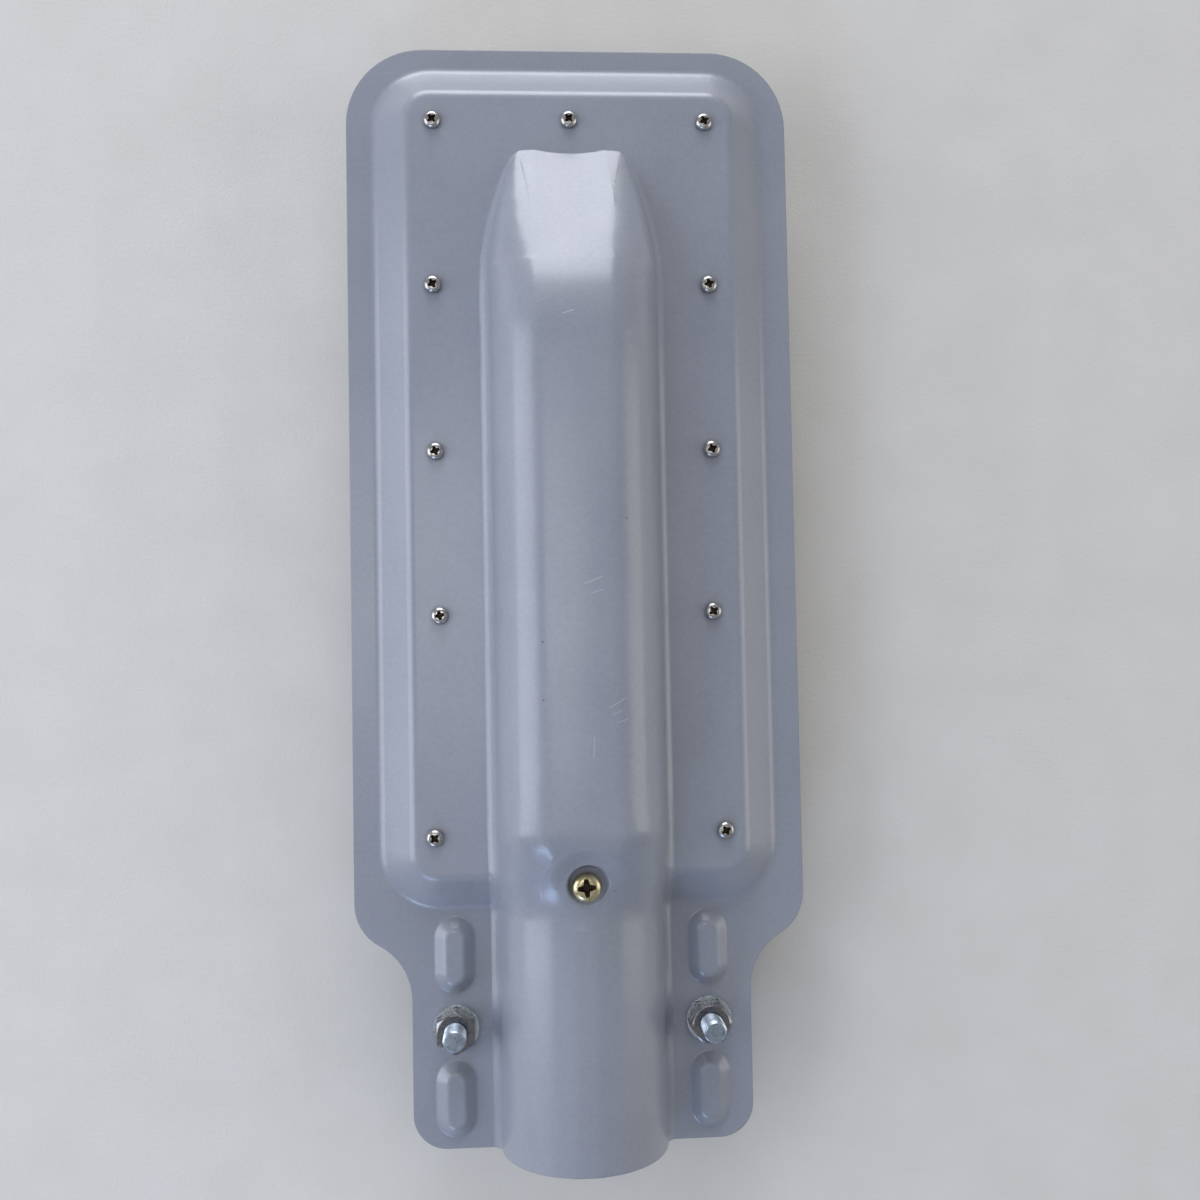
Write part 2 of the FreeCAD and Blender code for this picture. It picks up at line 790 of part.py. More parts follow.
def clamp_bracket():
    y0 = stud_y - strap_width / 2
    y1 = stud_y + strap_width / 2
    way = Vector(0, 1, 0)
    outer = Part.makeCylinder(socket_inner + strap_thick, strap_width, Vector(0, y0, 0), way)
    room = Part.makeCylinder(socket_inner, strap_width + 2 * past, Vector(0, y0 - past, 0), way)
    below = box(-strap_half_span, strap_half_span, y0, y1, -2 * socket_radius, strap_top)
    wings = box(-strap_half_span, strap_half_span, y0, y1, strap_under, strap_top)
    strap = outer.common(below).fuse(wings).cut(room).removeSplitter()
    middle = socket_radius + strap_bend
    bends = []
    for edge in strap.Edges:
        b = edge.BoundBox
        lengthwise = abs(edge.Length - strap_width) < close
        if lengthwise and abs(b.ZMin - strap_under) < close and b.XMin > -middle and b.XMax < middle:
            bends.append(edge)
    strap = strap.makeFillet(strap_bend, bends)
    corners = []
    for edge in strap.Edges:
        at_end = abs(abs(edge.BoundBox.XMin) - strap_half_span) < close
        if at_end and abs(edge.Length - strap_thick) < close:
            corners.append(edge)
    strap = strap.makeFillet(strap_corner, corners)
    half = bolt_neck_half + neck_clearance
    for side in (-1, 1):
        x = side * stud_x
        strap = strap.cut(box(
            x - half, x + half, stud_y - half, stud_y + half, strap_under - past, strap_top + past
        ))
    return strap


def clamp_bolt(x, top):
    """Carriage bolt: low domed head under the bracket, square neck, stud going up."""
    crown = Vector(0, 0, -bolt_head_height)
    middle = Vector(bolt_head_radius * bolt_dome_share[0], 0, -bolt_head_height * bolt_dome_share[1])
    rim = Vector(bolt_head_radius, 0, -bolt_head_height * bolt_rim_share)
    seat = Vector(bolt_head_radius, 0, 0)
    profile = Part.Wire([
        Part.Arc(crown, middle, rim).toShape(),
        Part.LineSegment(rim, seat).toShape(),
        Part.LineSegment(seat, Vector(0, 0, 0)).toShape(),
        Part.LineSegment(Vector(0, 0, 0), crown).toShape(),
    ])
    head = Part.Face(profile).revolve(Vector(0, 0, 0), Vector(0, 0, 1), 360)
    head.translate(Vector(x, stud_y, strap_under))
    half = bolt_neck_half
    neck = box(x - half, x + half, stud_y - half, stud_y + half, strap_under, strap_top)
    stud = post(x, stud_y, stud_radius, strap_under, top - stud_bevel)
    tip = Part.makeCone(
        stud_radius, stud_radius - stud_bevel, stud_bevel, Vector(x, stud_y, top - stud_bevel)
    )
    return head.fuse([neck, stud, tip]).removeSplitter()


def clamp_parts():
    save("clamp_bracket", clamp_bracket())
    bore = stud_radius + thread_clearance
    sides = (
        ("left", -1, stud_above_left, clamp_nut_turn_left),
        ("right", 1, stud_above_right, clamp_nut_turn_right),
    )
    for name, side, top, turn in sides:
        x = side * stud_x
        save(f"clamp_bolt_{name}", clamp_bolt(x, top))
        save(f"clamp_washer_{name}", washer(x, stud_y, 0.0, clamp_washer_radius, clamp_washer_thick, bore))
        save(f"clamp_nut_{name}", hex_nut(
            x, stud_y, clamp_washer_thick, clamp_nut_flats, clamp_nut_height, bore, turn, True
        ))


os.makedirs("parts", exist_ok=True)
save("upper_housing", upper_housing())
save("led_plate", led_plate())
save("led_chips", led_chips())
save("cover_gasket", cover_gasket())
save("lens_cover", lens_cover())
save("cable_bung", cable_bung())
panel_fasteners()
driver_parts()
terminal_parts()
earth_parts()
clamp_parts()
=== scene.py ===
import bpy
import bmesh
import math
import numpy as np
from mathutils import Matrix, Vector


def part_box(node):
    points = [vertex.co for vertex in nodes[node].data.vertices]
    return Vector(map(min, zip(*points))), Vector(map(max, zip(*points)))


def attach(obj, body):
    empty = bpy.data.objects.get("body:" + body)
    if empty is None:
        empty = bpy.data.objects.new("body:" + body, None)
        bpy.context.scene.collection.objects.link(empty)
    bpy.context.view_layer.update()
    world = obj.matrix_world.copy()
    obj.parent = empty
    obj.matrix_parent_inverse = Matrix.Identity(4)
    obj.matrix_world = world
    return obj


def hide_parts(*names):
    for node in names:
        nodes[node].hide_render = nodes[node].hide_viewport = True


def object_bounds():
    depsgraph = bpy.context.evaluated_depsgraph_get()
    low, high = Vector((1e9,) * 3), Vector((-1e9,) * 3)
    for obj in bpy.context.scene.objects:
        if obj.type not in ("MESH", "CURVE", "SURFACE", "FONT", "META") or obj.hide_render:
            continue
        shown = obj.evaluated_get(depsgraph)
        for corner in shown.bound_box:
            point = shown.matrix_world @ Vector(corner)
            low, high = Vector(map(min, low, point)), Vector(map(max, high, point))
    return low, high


# Street light head, seen from above as it lies on a bench: a powder coated pressed sheet
# with small stainless screws, one yellow zinc earth screw and two zinc plated clamp studs.
# Metres, in the same frame as the solids. Sizes written in millimetres are times MM.

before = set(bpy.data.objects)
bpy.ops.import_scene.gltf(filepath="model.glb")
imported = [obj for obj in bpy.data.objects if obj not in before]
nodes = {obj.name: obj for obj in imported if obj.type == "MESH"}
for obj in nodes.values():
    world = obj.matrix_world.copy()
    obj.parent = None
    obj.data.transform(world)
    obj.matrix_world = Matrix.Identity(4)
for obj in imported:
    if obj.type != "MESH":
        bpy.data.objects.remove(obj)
bpy.context.view_layer.update()
cad_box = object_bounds()
MM = 0.001


def linear(colour):
    """A colour written as sRGB hex, as the linear values that a socket takes."""
    values = []
    for i in (1, 3, 5):
        v = int(colour[i:i + 2], 16) / 255
        values.append(v / 12.92 if v <= 0.04045 else ((v + 0.055) / 1.055) ** 2.4)
    return (*values, 1.0)


# Settings that several nodes share
MIX = {"data_type": "RGBA"}
EASE = {"interpolation_type": "SMOOTHSTEP"}
TIMES = {"operation": "MULTIPLY"}
PLUS = {"operation": "ADD"}
TIMES_PLUS = {"operation": "MULTIPLY_ADD"}
SIZE_OF = {"operation": "ABSOLUTE"}
DOT = {"operation": "DOT_PRODUCT"}


def add(tree, kind, settings, inputs, output=0):
    """Adds a node, sets its properties, sets or links its sockets, and gives back the output asked for.
    A text among the inputs is a colour in sRGB hex."""
    node = tree.nodes.new(kind)
    for key, value in settings.items():
        setattr(node, key, value)
    for key, value in inputs.items():
        if isinstance(value, bpy.types.NodeSocket):
            tree.links.new(value, node.inputs[key])
        elif isinstance(value, str):
            node.inputs[key].default_value = linear(value)
        else:
            node.inputs[key].default_value = value
    return node.outputs[output]


def start_material(name, **shader):
    """A new material with its constant shader values, its tree, its shader and the row frame's place."""
    material = bpy.data.materials.new(name)
    material.use_nodes = True
    tree = material.node_tree
    surface = tree.nodes["Principled BSDF"]
    for key, value in shader.items():
        surface.inputs[key.replace("_", " ")].default_value = value
    return material, tree, surface, add(tree, "ShaderNodeTexCoord", {}, {}, "Object")


def finish_material(tree, surface, tone, gloss, height, depth, under=None):
    """Ends a material with its colour, its gloss, and a relief so many millimetres deep over the normal
    under it."""
    inputs = {"Height": height, "Distance": depth * MM, "Strength": 1.0}
    if under is not None:
        inputs["Normal"] = under
    tree.links.new(tone, surface.inputs["Base Color"])
    if gloss is not None:
        tree.links.new(gloss, surface.inputs["Roughness"])
    tree.links.new(add(tree, "ShaderNodeBump", {}, inputs), surface.inputs["Normal"])


def patches(tree, place, size, low, high, detail=3.0):
    """Blotches about size millimetres wide, as a value that runs from low to high."""
    cloud = add(tree, "ShaderNodeTexNoise", {}, {
        "Vector": place, "Scale": 1 / (size * MM), "Detail": detail, "Roughness": 0.55})
    return add(tree, "ShaderNodeMapRange", {}, {
        "Value": cloud, "From Min": 0.3, "From Max": 0.7, "To Min": low, "To Max": high})


def painted_deep_shade(tree, tone, reach, shadow):
    """Painted shade: darkens the colour of what lies deep between neighbours within reach millimetres, in
    recesses, threads and corners.
    """
    open_sky = add(tree, "ShaderNodeAmbientOcclusion", {"samples": 8}, {"Distance": reach * MM}, "AO")
    unshaded = add(tree, "ShaderNodeMapRange", EASE, {
        "Value": open_sky, "From Min": 0.25, "From Max": 0.8, "To Min": 0.0, "To Max": 1.0})
    return add(tree, "ShaderNodeMix", MIX, {0: unshaded, 6: shadow, 7: tone}, 2)


def scratch_mask(tree, place, x0, y0, x1, y1, width):
    """1 along a straight line on the top face from (x0, y0) to (x1, y1), millimetres."""
    run = Vector((x1 - x0, y1 - y0, 0.0))
    length = run.length * MM
    run.normalize()
    side = Vector((-run.y, run.x, 0.0))
    start = (x0 * MM, y0 * MM, 0.0)
    from_start = add(tree, "ShaderNodeVectorMath", {"operation": "SUBTRACT"}, {0: place, 1: start})
    along = add(tree, "ShaderNodeVectorMath", DOT, {0: from_start, 1: run}, "Value")
    across = add(tree, "ShaderNodeVectorMath", DOT, {0: from_start, 1: side}, "Value")
    off_line = add(tree, "ShaderNodeMath", SIZE_OF, {0: across})
    near = add(tree, "ShaderNodeMapRange", EASE, {
        "Value": off_line, "From Min": width * 0.3 * MM, "From Max": width * 0.6 * MM,
        "To Min": 1.0, "To Max": 0.0})
    from_middle = add(tree, "ShaderNodeMath", {"operation": "SUBTRACT"}, {0: along, 1: length / 2})
    off_middle = add(tree, "ShaderNodeMath", SIZE_OF, {0: from_middle})
    inside = add(tree, "ShaderNodeMapRange", EASE, {
        "Value": off_middle, "From Min": length * 0.42, "From Max": length * 0.5,
        "To Min": 1.0, "To Max": 0.0})
    return add(tree, "ShaderNodeMath", TIMES, {0: near, 1: inside})


def spot_mask(tree, place, x, y, inner, outer):
    """1 within inner of an upright line at (x, y), falling to 0 at outer, millimetres."""
    flat = add(tree, "ShaderNodeVectorMath", TIMES, {0: place, 1: (1.0, 1.0, 0.0)})
    away = add(tree, "ShaderNodeVectorMath", {"operation": "DISTANCE"}, {
        0: flat, 1: (x * MM, y * MM, 0.0)}, "Value")
    return add(tree, "ShaderNodeMapRange", EASE, {
        "Value": away, "From Min": inner * MM, "From Max": outer * MM, "To Min": 1.0, "To Max": 0.0})


def strongest(tree, masks, strength):
    """The largest of several masks, times a strength."""
    found = masks[0]
    for mask in masks[1:]:
        found = add(tree, "ShaderNodeMath", {"operation": "MAXIMUM"}, {0: found, 1: mask})
    return add(tree, "ShaderNodeMath", TIMES, {0: found, 1: strength})


def dress(name, material):
    """Gives a node its finish: every slot of its object takes the material."""
    for part_slot in nodes[name].material_slots:
        part_slot.material = material


# Places on the housing, read through the solved camera, millimetres in the row frame
SCREW_PAIRS = ((50.6, 110.1), (47.9, 186.9), (48.7, 244.4), (48.9, 303.4), (48.4, 362.2))
small_screws = [(side * x, y) for x, y in SCREW_PAIRS for side in (-1, 1)] + [(0.0, 362.7)]
STUD_X = 44.7
STUD_Y = 42.1
EARTH_X = 0.6
EARTH_Y = 95.4
EARTH_HEAD = 3.4
SHEET = 1.5
# Handling marks on the crown and the step: from x, y to x, y, and how wide
SCRATCHES = ((-4.6, 285.2, -0.4, 286.6, 0.35), (1.0, 195.6, 7.2, 198.2, 0.25), (3.2, 192.6, 7.8, 194.0, 0.22),
             (8.4, 155.0, 14.6, 158.4, 0.25), (9.4, 152.8, 13.2, 154.4, 0.22), (11.0, 150.2, 15.2, 151.4, 0.22),
             (3.2, 138.6, 3.6, 146.0, 0.25))
SPECKS = ((15.6, 217.3), (-12.8, 177.0), (-12.8, 158.0))


def powder_coat():
    """Polyester powder coat, light blue grey, sprayed on pressed steel and baked. It gives the eye a satin skin
    with a very fine orange peel, slightly cloudy in tone. Its cut edge is lightened, partly bright metal where
    the coat has rubbed through and partly a painted highlight."""
    material, tree, surface, place = start_material(
        "satin_powder_coat", Roughness=0.4, Coat_Weight=0.75, Coat_Roughness=0.22)
    cloud = patches(tree, place, 38, 0.0, 1.0, detail=2.0)
    tone = add(tree, "ShaderNodeMix", MIX, {0: cloud, 6: "#898E9A", 7: "#9094A0"}, 2)
    fine = patches(tree, place, 1.4, 0.0, 0.35, detail=4.0)
    tone = add(tree, "ShaderNodeMix", MIX, {0: fine, 6: tone, 7: "#9DA1AC"}, 2)
    # Painted shade: faint dark rings round the screw heads, the washers and the earth screw, where shade falls
    # at their feet and in the dimple
    rings = [spot_mask(tree, place, x, y, 2.9, 4.6) for x, y in small_screws]
    rings += [spot_mask(tree, place, side * STUD_X, STUD_Y, 7.4, 10.0) for side in (-1, 1)]
    rings.append(spot_mask(tree, place, EARTH_X, EARTH_Y, 4.6, 8.0))
    painted_ring_shade = strongest(tree, rings, 0.35)
    tone = add(tree, "ShaderNodeMix", MIX, {0: painted_ring_shade, 6: tone, 7: "#5A5D68"}, 2)
    # Light scratches through the gloss, drawn a little wider than they are so that they show
    light = strongest(tree, [scratch_mask(tree, place, *mark) for mark in SCRATCHES], 0.6)
    tone = add(tree, "ShaderNodeMix", MIX, {0: light, 6: tone, 7: "#C3C6CE"}, 2)
    dark = strongest(tree, [spot_mask(tree, place, x, y, 0.2, 0.5) for x, y in SPECKS], 0.7)
    tone = add(tree, "ShaderNodeMix", MIX, {0: dark, 6: tone, 7: "#4A4C55"}, 2)
    # The cut edge of the sheet is lightened in places: partly bright metal where the coat draws thin, partly a
    # painted highlight along the edge
    rounded = add(tree, "ShaderNodeBevel", {"samples": 6}, {"Radius": 0.5 * MM})
    true = add(tree, "ShaderNodeNewGeometry", {}, {}, "Normal")
    alike = add(tree, "ShaderNodeVectorMath", DOT, {0: rounded, 1: true}, "Value")
    edge_wear_and_highlight = add(tree, "ShaderNodeMapRange", EASE, {
        "Value": alike, "From Min": 0.88, "From Max": 0.985, "To Min": 1.0, "To Max": 0.0})
    level = add(tree, "ShaderNodeSeparateXYZ", {}, {0: place}, "Z")
    cut_face = add(tree, "ShaderNodeMapRange", EASE, {
        "Value": level, "From Min": -0.15 * MM, "From Max": 0.02 * MM, "To Min": 1.0, "To Max": 0.0})
    edge_wear_and_highlight_patches = add(tree, "ShaderNodeMapRange", EASE, {
        "Value": patches(tree, place, 9, 0.0, 1.0), "From Min": 0.3, "From Max": 0.75,
        "To Min": 0.0, "To Max": 1.0})
    edge_wear_and_highlight_patches = add(tree, "ShaderNodeMath", TIMES_PLUS, {0: edge_wear_and_highlight_patches, 1: 0.4, 2: 0.5})
    edge = add(tree, "ShaderNodeMath", TIMES, {0: edge_wear_and_highlight, 1: cut_face})
    edge = add(tree, "ShaderNodeMath", TIMES, {0: edge, 1: edge_wear_and_highlight_patches})
    tone = add(tree, "ShaderNodeMix", MIX, {0: edge, 6: tone, 7: "#D4D6DB"}, 2)
    # The rings of painted shade are also a little less glossy
    dull = add(tree, "ShaderNodeMath", TIMES, {0: painted_ring_shade, 1: 0.4})
    gloss = add(tree, "ShaderNodeMath", PLUS, {0: patches(tree, place, 21, 0.38, 0.46), 1: dull})
    # Orange peel of a sprayed coat, about 1.6 mm from dimple to dimple, over the press's soft waves
    peel = add(tree, "ShaderNodeBump", {}, {
        "Height": patches(tree, place, 1.6, 0.0, 1.0, detail=1.5), "Distance": 0.012 * MM, "Strength": 1.0,
        "Normal": rounded})
    finish_material(tree, surface, tone, gloss, patches(tree, place, 16, 0.0, 1.0, detail=1.0), 0.06, peel)
    return material


def zinc(name, colour, dark, rough, shadow, rounding, reach):
    """Zinc plate over steel, barrel plated: bright, with a fine crystal cloudiness and edges rounded by
    tumbling. Passivated clear it looks bluish, and yellow passivate gives it a pale brass colour."""
    material, tree, surface, place = start_material(name, Metallic=1.0)
    cloud = patches(tree, place, 1.6, 0.0, 1.0, detail=4.0)
    tone = add(tree, "ShaderNodeMix", MIX, {0: cloud, 6: dark, 7: colour}, 2)
    # Painted shade: the zinc is darker where it lies deep between neighbours, in threads and recesses
    tone = painted_deep_shade(tree, tone, reach, shadow)
    rounded = add(tree, "ShaderNodeBevel", {"samples": 4}, {"Radius": rounding * MM})
    finish_material(tree, surface, tone, patches(tree, place, 0.9, rough - 0.07, rough + 0.1),
                    patches(tree, place, 0.7, 0.0, 1.0), 0.004, rounded)
    return material


def stainless_steel():
    """Stainless A2 screw, cold headed and tumbled: grey white metal with fine tool marks, its edges
    rounded by tumbling."""
    material, tree, surface, place = start_material("tumbled_stainless", Metallic=1.0)
    cloud = patches(tree, place, 0.8, 0.0, 1.0)
    tone = add(tree, "ShaderNodeMix", MIX, {0: cloud, 6: "#A5A3A0", 7: "#CDCBC8"}, 2)
    # Painted shade: the steel is darker deep in the cross and in corners
    tone = painted_deep_shade(tree, tone, 1.6, "#1C1A19")
    rounded = add(tree, "ShaderNodeBevel", {"samples": 4}, {"Radius": 0.18 * MM})
    finish_material(tree, surface, tone, patches(tree, place, 0.5, 0.2, 0.38),
                    patches(tree, place, 0.4, 0.0, 1.0), 0.008, rounded)
    return material


def painted_cross_shade():
    """The punched cross of a screw, matt dark brown: painted shade for the depth of the cross."""
    material, tree, surface, place = start_material("painted_cross_shade", Metallic=0.3)
    cross_shade_mottle = patches(tree, place, 0.5, 0.0, 1.0)
    tone = add(tree, "ShaderNodeMix", MIX, {0: cross_shade_mottle, 6: "#241912", 7: "#4A3829"}, 2)
    finish_material(tree, surface, tone, patches(tree, place, 0.4, 0.45, 0.7),
                    patches(tree, place, 0.4, 0.0, 1.0), 0.02)
    return material


def nut_steel():
    """Zinc nickel plated nut, barrel finished: darker warm grey metal, polished on its flats by the
    spanner, with rounded edges that catch the light."""
    material, tree, surface, place = start_material("barrel_plated_nut", Metallic=1.0)
    cloud = patches(tree, place, 2.2, 0.0, 1.0, detail=4.0)
    tone = add(tree, "ShaderNodeMix", MIX, {0: cloud, 6: "#878587", 7: "#97969A"}, 2)
    # Painted shade: the nut is darker where it lies deep between neighbours
    tone = painted_deep_shade(tree, tone, 1.5, "#242122")
    rounded = add(tree, "ShaderNodeBevel", {"samples": 4}, {"Radius": 0.3 * MM})
    finish_material(tree, surface, tone, patches(tree, place, 1.1, 0.2, 0.32),
                    patches(tree, place, 0.8, 0.0, 1.0), 0.004, rounded)
    return material


def galvanised_steel():
    """Hot dip galvanised steel: grey zinc frozen in spangles about 6 mm wide, each a slightly
    different grey."""
    material, tree, surface, place = start_material("hot_dip_galvanised", Metallic=1.0)
    spangle = add(tree, "ShaderNodeTexVoronoi", {"feature": "F1"}, {
        "Vector": place, "Scale": 1 / (6 * MM), "Randomness": 1.0}, "Color")
    grey = add(tree, "ShaderNodeSeparateColor", {}, {"Color": spangle})
    tone = add(tree, "ShaderNodeMix", MIX, {0: grey, 6: "#9DA2A7", 7: "#B0B5BA"}, 2)
    bloom = patches(tree, place, 2.5, 0.0, 0.4)
    tone = add(tree, "ShaderNodeMix", MIX, {0: bloom, 6: tone, 7: "#A2A6AA"}, 2)
    gloss = add(tree, "ShaderNodeMath", TIMES_PLUS, {0: grey, 1: 0.08, 2: 0.36})
    finish_material(tree, surface, tone, gloss, patches(tree, place, 5, 0.0, 1.0), 0.08)
    return material


def rolled_aluminium():
    """Mill finish aluminium sheet: bright grey metal with rolling lines along the panel."""
    material, tree, surface, place = start_material("mill_aluminium", Metallic=1.0)
    stretched = add(tree, "ShaderNodeMapping", {}, {"Vector": place, "Scale": (1.0, 0.04, 1.0)})
    lines = patches(tree, stretched, 0.6, 0.0, 1.0, detail=5.0)
    tone = add(tree, "ShaderNodeMix", MIX, {0: lines, 6: "#B7BABD", 7: "#D5D7D9"}, 2)
    gloss = add(tree, "ShaderNodeMath", TIMES_PLUS, {0: lines, 1: 0.12, 2: 0.3})
    finish_material(tree, surface, tone, gloss, lines, 0.01)
    return material


def clear_polycarbonate():
    """Injection moulded clear polycarbonate: glossy and see through, very slightly milky, with the
    faint flow waves of the mould."""
    material, tree, surface, place = start_material(
        "clear_polycarbonate", IOR=1.58, Transmission_Weight=1.0, Roughness=0.06)
    milk = patches(tree, place, 45, 0.0, 1.0, detail=1.0)
    tone = add(tree, "ShaderNodeMix", MIX, {0: milk, 6: "#F2F5F6", 7: "#FBFCFC"}, 2)
    finish_material(tree, surface, tone, None, patches(tree, place, 14, 0.0, 1.0, detail=1.0), 0.03)
    return material


def led_package():
    """White LED: a yellow phosphor gel in a white moulded frame, satin where it was poured."""
    material, tree, surface, place = start_material("led_phosphor_gel", Roughness=0.35, Coat_Weight=0.5)
    grain = patches(tree, place, 0.25, 0.0, 1.0)
    tone = add(tree, "ShaderNodeMix", MIX, {0: grain, 6: "#E4C04A", 7: "#F2DC84"}, 2)
    finish_material(tree, surface, tone, None, grain, 0.01)
    return material


def moulded_plastic(name, dark, light, rough, grain, depth):
    """Injection moulded plastic with a spark eroded grain, a little uneven in tone and gloss."""
    material, tree, surface, place = start_material(name, Specular_IOR_Level=0.45)
    tone = add(tree, "ShaderNodeMix", MIX, {0: patches(tree, place, grain * 9, 0.0, 1.0), 6: dark, 7: light}, 2)
    finish_material(tree, surface, tone, patches(tree, place, grain * 5, rough - 0.06, rough + 0.08),
                    patches(tree, place, grain, 0.0, 1.0), depth)
    return material


coat = powder_coat()
bright_zinc = zinc("clear_zinc_plate", "#DCE4EA", "#CDD5DC", 0.24, "#3E444B", 0.15, 0.3)
stud_zinc = zinc("clear_zinc_thread", "#BFCBD6", "#93A1B0", 0.34, "#2E353D", 0.02, 0.9)
yellow_zinc = zinc("yellow_zinc_plate", "#DDD3AC", "#C4B789", 0.3, "#4A3E22", 0.22, 1.2)
# Painted shade for the crosses of the screws
cross_shade_material = painted_cross_shade()
screw_steel = stainless_steel()
finishes = {
    "upper_housing": coat,
    "led_plate": rolled_aluminium(),
    "led_chips": led_package(),
    "cover_gasket": moulded_plastic("silicone_foam", "#D9DAD6", "#E8E8E4", 0.62, 0.8, 0.04),
    "lens_cover": clear_polycarbonate(),
    "cable_bung": moulded_plastic("black_rubber", "#17181A", "#232427", 0.62, 0.6, 0.03),
    "clamp_bracket": galvanised_steel(),
    "driver_case": moulded_plastic("painted_driver_case", "#C9CBCB", "#D8DADA", 0.42, 0.9, 0.02),
    "terminal_block": moulded_plastic("white_nylon", "#DAD9D1", "#E9E8E1", 0.5, 0.7, 0.02),
}
for name in ("cover_screws", "cover_washers", "cover_nuts", "driver_screws", "terminal_screws"):
    finishes[name] = screw_steel
for name in ("earth_screw", "earth_washer", "earth_nut"):
    finishes[name] = yellow_zinc
for name in ("clamp_bolt_left", "clamp_bolt_right", "clamp_washer_left", "clamp_washer_right"):
    finishes[name] = bright_zinc
plated_nut = nut_steel()
for name in ("clamp_nut_left", "clamp_nut_right"):
    finishes[name] = plated_nut
black_nylon = moulded_plastic("black_nylon", "#1B1C1E", "#2A2B2E", 0.5, 0.7, 0.02)
for name in ("driver_cap_input", "driver_cap_output"):
    finishes[name] = black_nylon
for name, material in finishes.items():
    dress(name, material)


def finish_piece(name, bm, materials, slot_name, *replaced):
    """Makes the piece of a finished bmesh: smooth skin, sharp where it turns by more than 32 degrees."""
    mesh = bpy.data.meshes.new(name)
    bm.to_mesh(mesh)
    bm.free()
    for face in mesh.polygons:
        face.use_smooth = True
    mesh.set_sharp_from_angle(angle=math.radians(32))
    for material in materials:
        mesh.materials.append(material)
    piece = bpy.data.objects.new(name, mesh)
    bpy.context.collection.objects.link(piece)
    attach(piece, "root")
    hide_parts(*replaced)
    return piece


def turned(profile, steps):
    """Closed solid of revolution about Z from (radius, height) pairs that start and end on the axis."""
    bm = bmesh.new()
    rings = []
    for radius, height in profile:
        if radius == 0:
            rings.append([bm.verts.new((0, 0, height))])
            continue
        ring = []
        for i in range(steps):
            a = 2 * math.pi * i / steps
            ring.append(bm.verts.new((radius * math.cos(a), radius * math.sin(a), height)))
        rings.append(ring)
    for low, high in zip(rings, rings[1:]):
        for i in range(steps):
            j = (i + 1) % steps
            corners = [low[i % len(low)], low[j % len(low)], high[j % len(high)], high[i % len(high)]]
            bm.faces.new(list(dict.fromkeys(corners)))
    return bm


def cross_punch(span, width, depth, top):
    """The punch of a cross recess: a plus that narrows as it goes down."""
    bm = bmesh.new()
    loops = []
    for share, height in ((1.12, top + 0.25 * depth), (0.42, top - depth)):
        s = span * share
        w = width * (0.55 + 0.45 * share)
        end = w * 0.66
        bay = w * 1.3
        plan = [(s, -end), (s, end), (bay, bay), (end, s), (-end, s), (-bay, bay), (-s, end), (-s, -end),
                (-bay, -bay), (-end, -s), (end, -s), (bay, -bay)]
        loops.append([bm.verts.new((x, y, height)) for x, y in plan])
    upper, lower = loops
    bm.faces.new(upper)
    bm.faces.new(list(reversed(lower)))
    for i in range(len(upper)):
        j = (i + 1) % len(upper)
        bm.faces.new((upper[i], lower[i], lower[j], upper[j]))
    bmesh.ops.recalc_face_normals(bm, faces=bm.faces)
    return bm


def carved(body, punch):
    """The mesh of one bmesh after another is cut out of it."""
    pair = []
    for name, bm in (("body_blank", body), ("punch_blank", punch)):
        mesh = bpy.data.meshes.new(name)
        bm.to_mesh(mesh)
        bm.free()
        blank = bpy.data.objects.new(name, mesh)
        bpy.context.collection.objects.link(blank)
        pair.append(blank)
    cut = pair[0].modifiers.new("cut", "BOOLEAN")
    cut.operation = "DIFFERENCE"
    cut.solver = "EXACT"
    cut.object = pair[1]
    view = bpy.context.evaluated_depsgraph_get()
    result = bpy.data.meshes.new_from_object(pair[0].evaluated_get(view))
    for blank in pair:
        bpy.data.objects.remove(blank)
    return result


def cross_head_screw(head, height, shank, length, span, width, depth):
    """Pan head screw standing on z = 0, its shank going down to a chamfered end, sizes in millimetres."""
    profile = [(0, -length), (shank * 0.72, -length), (shank, -length + shank * 0.3), (shank, 0),
               (head * 0.97, 0), (head, height * 0.06), (head, height * 0.35)]
    for i in range(1, 9):
        a = i / 8 * math.pi / 2
        profile.append((head * (0.5 + 0.5 * math.cos(a)), height * (0.35 + 0.65 * math.sin(a))))
    profile.append((0, height))
    blank = turned([(r * MM, z * MM) for r, z in profile], 48)
    bmesh.ops.recalc_face_normals(blank, faces=blank.faces)
    screw = carved(blank, cross_punch(span * MM, width * MM, depth * MM, height * MM))
    for polygon in screw.polygons:
        x, y, z = (v / MM for v in polygon.center)
        away = math.hypot(x, y)
        dome = height * (0.35 + 0.65 * math.sqrt(max(1 - max(2 * away / head - 1, 0) ** 2, 0)))
        # Faces inside the cross take the second material, the painted shade of the recess
        if away < span * 1.12 and 0 < z < dome - 0.1:
            polygon.material_index = 1
    return screw


def placed_copies(mesh, places):
    """Copies of a mesh in one bmesh, each at (x, y, z) millimetres and turned by degrees about Z."""
    bm = bmesh.new()
    for x, y, z, turn in places:
        before = set(bm.verts)
        bm.from_mesh(mesh)
        fresh = [v for v in bm.verts if v not in before]
        move = Matrix.Translation((x * MM, y * MM, z * MM)) @ Matrix.Rotation(math.radians(turn), 4, "Z")
        bmesh.ops.transform(bm, matrix=move, verts=fresh)
    return bm


